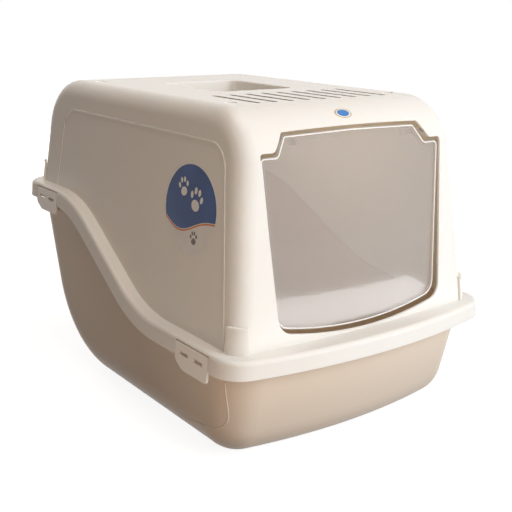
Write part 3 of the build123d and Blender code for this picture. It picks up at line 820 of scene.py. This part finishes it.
class LITTERBOX_OT_label(bpy.types.Operator):
    """Make the oval label with paw marks on the left side panel"""

    bl_idname = "litterbox.label"
    bl_label = "Side label"

    def execute(self, context):
        look = settings("label")
        place = side_panel_plane(look.centre_y, look.centre_z)
        step = look.sheet
        a, b = look.half_long, look.half_high
        paper = printed("label_paper", deeper(look.paper, part=0.95), look.paper)
        blue = printed("label_blue", look.blue_deep, look.blue_pale, scale=22.0)
        orange = printed("label_orange", deeper(look.orange, part=0.9), look.orange)
        grey = printed("label_grey", deeper(look.grey, part=0.8), look.grey)
        add_layer("label_sheet", oval(a, b), place, -step, step, paper)
        arc = oval(a * FIELD_INSET, b * FIELD_INSET, start=FIELD_START, stop=FIELD_STOP)
        first, last = Vector((*arc[-1], 0)), Vector((*arc[0], 0))
        wave = []
        for k in range(1, CURVE_STEPS // 2):
            t = k / (CURVE_STEPS / 2)
            spot = first.lerp(last, t)
            drop = WAVE_DROP * b * math.sin(math.pi * t)
            wave.append((spot.x, spot.y - drop - WAVE_SWAY * b * math.sin(2 * math.pi * t)))
        add_layer("label_field", arc + wave, place, 0, 2 * step, blue)
        band = [arc[-1]] + wave + [arc[0]]
        stripe = [(x, y - STRIPE_TOP * b) for x, y in band]
        stripe += [(x, y - STRIPE_FOOT * b) for x, y in band[::-1]]
        add_layer("label_stripe", stripe, place, 0, 2 * step, orange)
        for number, ((x, y), size, turn) in enumerate(WHITE_PAWS):
            for toe, outline in enumerate(paw((x * a, y * b), size * a, turn)):
                add_layer("label_paw_%d_%d" % (number, toe), outline, place, 0, 3 * step, paper)
        (x, y), size, turn = GREY_PAW
        for toe, outline in enumerate(paw((x * a, y * b), size * a, turn)):
            add_layer("label_small_paw_%d" % toe, outline, place, 0, 2 * step, grey)
        return {"FINISHED"}


class LITTERBOX_OT_sticker(bpy.types.Operator):
    """Make the small plain oval sticker above the door"""

    bl_idname = "litterbox.sticker"
    bl_label = "Front sticker"

    def execute(self, context):
        look = settings("label")
        tilt = Matrix.Rotation(look.sticker_tilt, 4, "X")
        place = Matrix.Translation((look.sticker_x, look.sticker_y, look.sticker_z)) @ tilt
        step = look.sheet
        gold = printed("sticker_gold", deeper(look.gold, part=0.9), look.gold)
        blue = printed("sticker_blue", deeper(look.sky, part=0.85), look.sky)
        layers = (
            ("sticker_ring", RING_SHARE, gold),
            ("sticker_sheet", SHEET_SHARE, bpy.data.materials["label_paper"]),
            ("sticker_field", FIELD_SHARE, blue),
        )
        for number, (name, part, material) in enumerate(layers):
            outline = oval(look.sticker_half_long * part, look.sticker_half_high * part)
            mesh = draped_mesh(name, outline, place, (number - 1) * step, (number + 1) * step)
            add_object(name, mesh, material, "hood")
        return {"FINISHED"}


def camera_axes(look):
    """The view's rightward, upward and backward directions."""
    a, e, roll = look.camera_azimuth, look.camera_elevation, look.camera_roll
    ahead = Vector((math.sin(a) * math.cos(e), math.cos(a) * math.cos(e), -math.sin(e)))
    level = Vector((math.cos(a), -math.sin(a), 0.0))
    above = level.cross(ahead)
    right = level * math.cos(roll) + above * math.sin(roll)
    up = above * math.cos(roll) - level * math.sin(roll)
    return right, up, -ahead


def seen_by_lens(nodes, links):
    """A factor that is 1 for what the camera sees, straight, mirrored or through the door."""
    path = nodes.new("ShaderNodeLightPath")
    seen = path.outputs["Is Camera Ray"]
    for ray in ("Is Glossy Ray", "Is Transmission Ray"):
        either = nodes.new("ShaderNodeMath")
        either.operation = "MAXIMUM"
        links.new(seen, either.inputs[0])
        links.new(path.outputs[ray], either.inputs[1])
        seen = either.outputs["Value"]
    return seen


def floor_material(look):
    """Pale floor: even and white in the picture with the box's shadow, matt for the light it throws back."""
    material, nodes, links, shader = start_material("pale_floor")
    nodes.remove(shader)
    bounce = nodes.new("ShaderNodeBsdfDiffuse")
    set_values(bounce, {"Color": (*look.floor_bounce, 1.0)})
    seen = nodes.new("ShaderNodeBsdfDiffuse")
    set_values(seen, {"Color": (*look.floor_seen, 1.0)})
    glow = nodes.new("ShaderNodeEmission")
    place = nodes.new("ShaderNodeTexCoord")
    away = nodes.new("ShaderNodeVectorMath")
    away.operation = "LENGTH"
    links.new(place.outputs["Object"], away.inputs[0])
    rise = nodes.new("ShaderNodeMapRange")
    set_values(rise, {"From Min": look.floor_near, "From Max": look.floor_far})
    set_values(rise, {"To Min": look.floor_glow, "To Max": 1.0})
    links.new(away.outputs["Value"], rise.inputs["Value"])
    links.new(rise.outputs["Result"], glow.inputs["Strength"])
    both = nodes.new("ShaderNodeAddShader")
    links.new(seen.outputs["BSDF"], both.inputs[0])
    links.new(glow.outputs["Emission"], both.inputs[1])
    choice = nodes.new("ShaderNodeMixShader")
    links.new(seen_by_lens(nodes, links), choice.inputs["Fac"])
    links.new(bounce.outputs["BSDF"], choice.inputs[1])
    links.new(both.outputs["Shader"], choice.inputs[2])
    links.new(choice.outputs["Shader"], nodes["Material Output"].inputs["Surface"])
    return material


def add_floor(look):
    """Lays the pale floor under the box."""
    half = look.floor_half
    corners = [(-half, -half, 0), (half, -half, 0), (half, half, 0), (-half, half, 0)]
    mesh = bpy.data.meshes.new("floor")
    mesh.from_pydata(corners, [], [(0, 1, 2, 3)])
    floor = bpy.data.objects.new("floor", mesh)
    bpy.context.scene.collection.objects.link(floor)
    mesh.materials.append(floor_material(look))


def room_world(look):
    """White surroundings in the picture, and even warm light on the box."""
    world = bpy.data.worlds.new("pale_room")
    world.use_nodes = True
    nodes, links = world.node_tree.nodes, world.node_tree.links
    light = nodes["Background"]
    set_values(light, {"Color": (*look.room_light, 1.0)})
    white = nodes.new("ShaderNodeBackground")
    set_values(white, {"Color": (*WHITE, 1.0)})
    choice = nodes.new("ShaderNodeMixShader")
    links.new(seen_by_lens(nodes, links), choice.inputs["Fac"])
    links.new(light.outputs["Background"], choice.inputs[1])
    links.new(white.outputs["Background"], choice.inputs[2])
    links.new(choice.outputs["Shader"], nodes["World Output"].inputs["Surface"])
    bpy.context.scene.world = world


def add_lamp(lamp, look):
    """Sets up one soft lamp, aimed at its point."""
    light = bpy.data.lights.new(lamp.name, "AREA")
    light.shape = "RECTANGLE"
    light.size, light.size_y = lamp.size
    light.energy = getattr(look, lamp.power)
    light.color = getattr(look, lamp.tint) if lamp.tint else WHITE
    holder = bpy.data.objects.new(lamp.name, light)
    holder.location = lamp.place
    holder.rotation_mode = "QUATERNION"
    holder.rotation_quaternion = (Vector(lamp.aim) - Vector(lamp.place)).to_track_quat("-Z", "Y")
    for ray in lamp.hidden:
        setattr(holder, "visible_" + ray, False)
    bpy.context.scene.collection.objects.link(holder)
    return holder


def add_camera(look):
    """Sets up the camera and looks through it."""
    scene = bpy.context.scene
    lens = bpy.data.cameras.new("camera")
    lens.lens = look.focal * lens.sensor_width
    camera = bpy.data.objects.new("camera", lens)
    spin = Matrix(camera_axes(look)).transposed()
    camera.matrix_world = Matrix.Translation((look.camera_x, look.camera_y, look.camera_z)) @ spin.to_4x4()
    scene.collection.objects.link(camera)
    scene.camera = camera


class LITTERBOX_OT_stage(bpy.types.Operator):
    """Set up the pale floor, the lamps and the camera"""

    bl_idname = "litterbox.stage"
    bl_label = "Studio"

    def execute(self, context):
        look = settings("studio")
        add_floor(look)
        room_world(look)
        holders = {lamp.name: add_lamp(lamp, look) for lamp in LAMPS}
        face_up = Quaternion((1, 0, 0), math.pi)
        holders["low_card"].rotation_quaternion = Quaternion((0, 0, 1), CARD_TURN) @ face_up
        add_camera(look)
        context.scene.view_settings.view_transform = "Standard"
        return {"FINISHED"}


OPERATORS = (
    LITTERBOX_OT_hood,
    LITTERBOX_OT_clips,
    LITTERBOX_OT_tray,
    LITTERBOX_OT_door,
    LITTERBOX_OT_pad,
    LITTERBOX_OT_label,
    LITTERBOX_OT_sticker,
    LITTERBOX_OT_stage,
)
GROUPS = {
    "plastic": PlasticFinish,
    "door_line": DoorLine,
    "pad": PadFinish,
    "label": LabelFinish,
    "studio": StudioLook,
}


class LITTERBOX_PT_panel(bpy.types.Panel):
    """Lists the box's pieces and their values"""

    bl_idname = "LITTERBOX_PT_panel"
    bl_label = "Litter Box"
    bl_space_type = "VIEW_3D"
    bl_region_type = "UI"
    bl_category = "Litter Box"

    def draw(self, context):
        for operator in OPERATORS:
            self.layout.operator(operator.bl_idname)
        for kind in GROUPS:
            group = settings(kind)
            for name in group.bl_rna.properties.keys():
                if name not in ("rna_type", "name"):
                    self.layout.prop(group, name)


def register():
    """Make the groups, operators and panel known to Blender."""
    for kind, group in GROUPS.items():
        bpy.utils.register_class(group)
        setattr(bpy.types.Scene, "litter_box_" + kind, PointerProperty(type=group))
    for operator in OPERATORS:
        bpy.utils.register_class(operator)
    bpy.utils.register_class(LITTERBOX_PT_panel)


def unregister():
    """Take the panel, operators and groups away again."""
    bpy.utils.unregister_class(LITTERBOX_PT_panel)
    for operator in reversed(OPERATORS):
        bpy.utils.unregister_class(operator)
    for kind, group in GROUPS.items():
        delattr(bpy.types.Scene, "litter_box_" + kind)
        bpy.utils.unregister_class(group)


def main():
    """Build every piece and the studio."""
    register()
    bpy.ops.litterbox.hood()
    bpy.ops.litterbox.clips()
    bpy.ops.litterbox.tray()
    bpy.ops.litterbox.door()
    bpy.ops.litterbox.pad()
    bpy.ops.litterbox.label()
    bpy.ops.litterbox.sticker()
    bpy.ops.litterbox.stage()
    bpy.context.view_layer.update()


if __name__ == "__main__":
    main()
